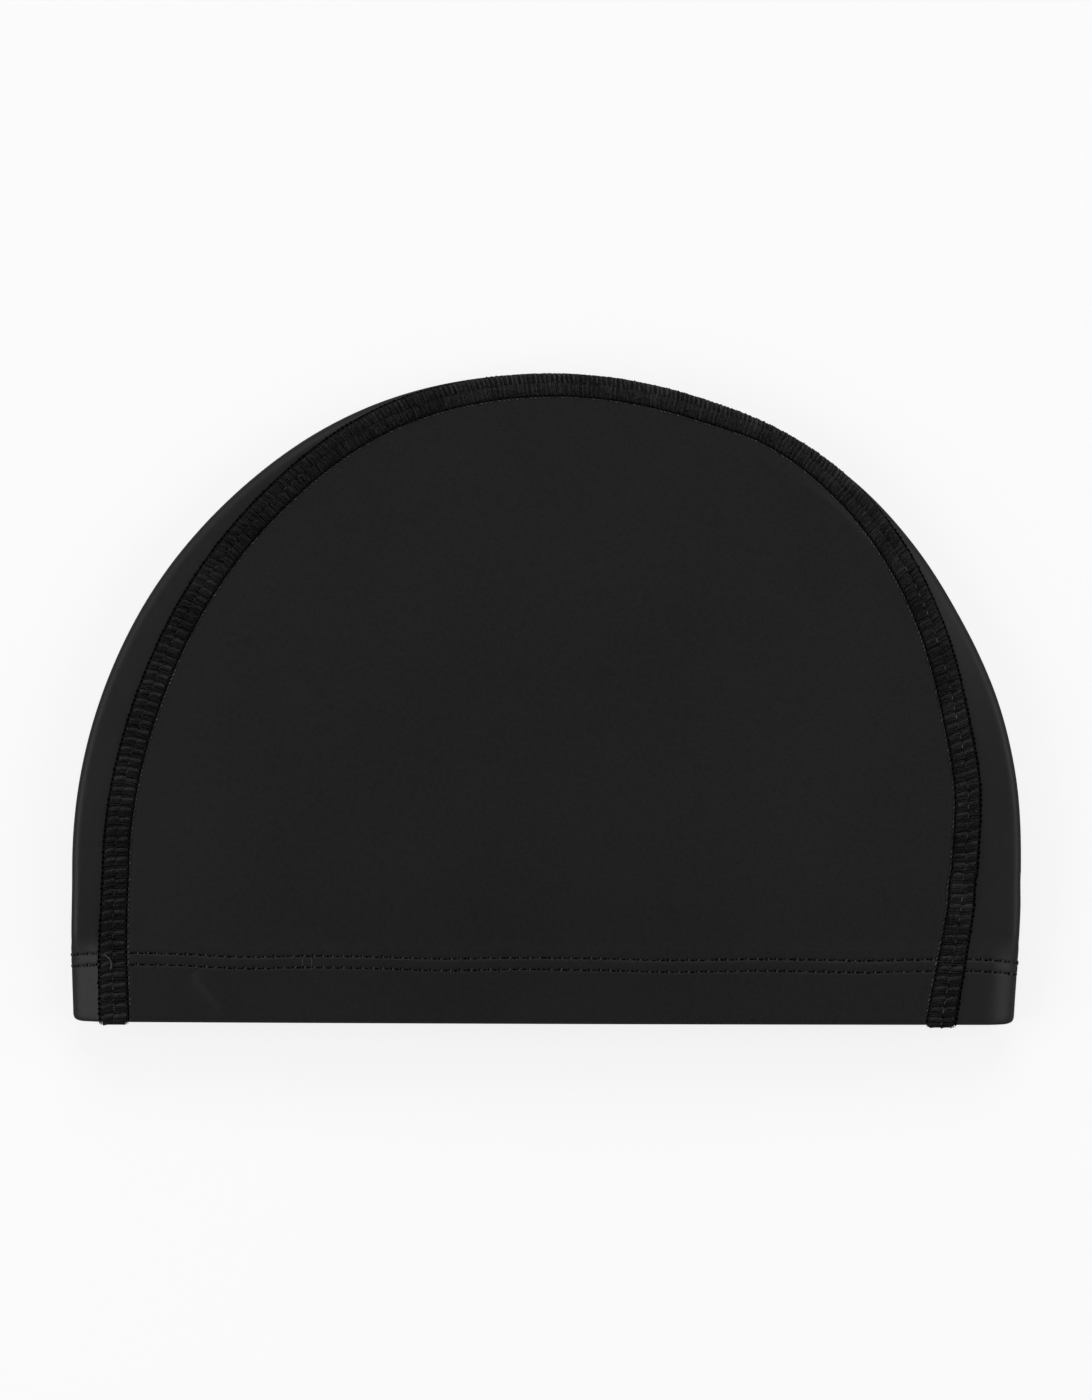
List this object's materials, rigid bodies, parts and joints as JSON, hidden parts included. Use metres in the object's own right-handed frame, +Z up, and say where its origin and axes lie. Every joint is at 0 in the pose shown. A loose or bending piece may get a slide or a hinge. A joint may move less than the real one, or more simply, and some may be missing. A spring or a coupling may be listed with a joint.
{
  "type": "swim cap",
  "caption": "Stretch swim cap of coated cloth laid flat on its side, with a flatlock seam over the crown and a stitched hem round the mouth.",
  "frame": {"origin": "on the surface that the cap lies on, under the middle of its bounding box", "axes": "+X along the mouth, to the right when seen from above with the crown away from the viewer; +Y from the mouth to the crown; +Z up from the surface that the cap lies on"},
  "size_m": [0.23, 0.1588, 0.0145],
  "materials": {
    "cloth": "black stretch cloth with a soft coated face, semi-matte",
    "thread": "black fluffed sewing thread, matte"
  },
  "bodies": {
    "root": {"side_panel": "cloth", "wrap_panel": "cloth", "crown_seam": "thread"}
  },
  "joints": []
}
